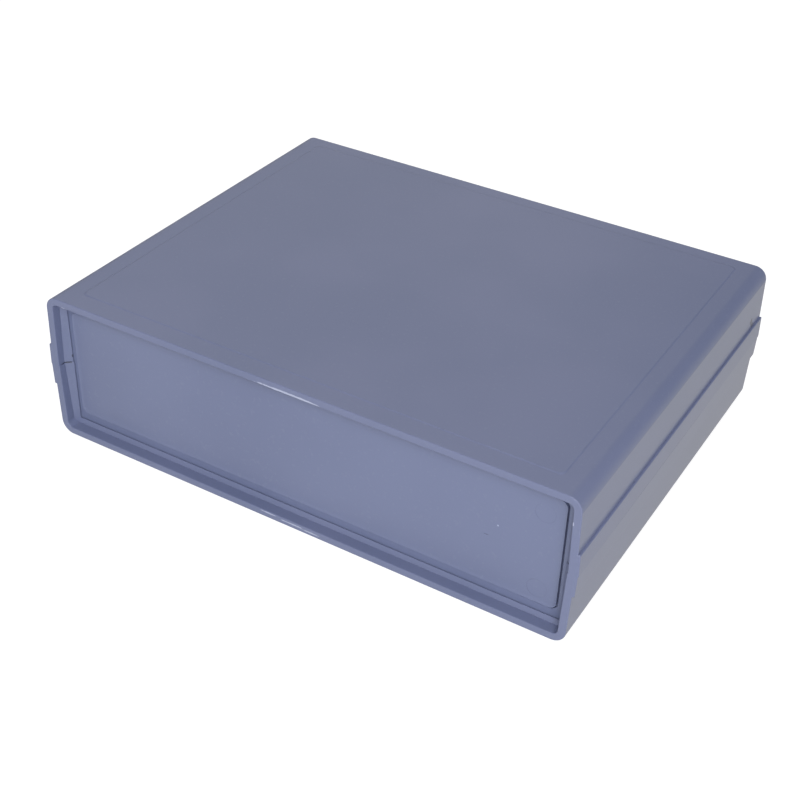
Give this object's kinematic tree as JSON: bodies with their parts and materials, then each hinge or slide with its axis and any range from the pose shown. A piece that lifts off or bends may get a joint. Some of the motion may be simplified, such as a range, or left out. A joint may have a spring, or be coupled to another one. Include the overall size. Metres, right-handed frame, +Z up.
{
  "type": "plastic instrument case",
  "caption": "Low two-shell plastic case with side bands, recessed end panels that slide into bevelled seats, and screw posts reached from below.",
  "frame": {"origin": "on the table under the middle of the case", "axes": "+X to the right along the front, the front panel faces -Y, +Z up"},
  "size_m": [0.18, 0.139, 0.05],
  "materials": {
    "shell_plastic": "fine satin, blue-grey",
    "panel_plastic": "fine satin, blue-grey",
    "screw_steel": "zinc-plated steel"
  },
  "bodies": {
    "root": {"bottom_shell": "shell_plastic", "top_shell": "shell_plastic", "front_panel": "panel_plastic", "rear_panel": "panel_plastic", "case_screws": "screw_steel"}
  },
  "joints": []
}
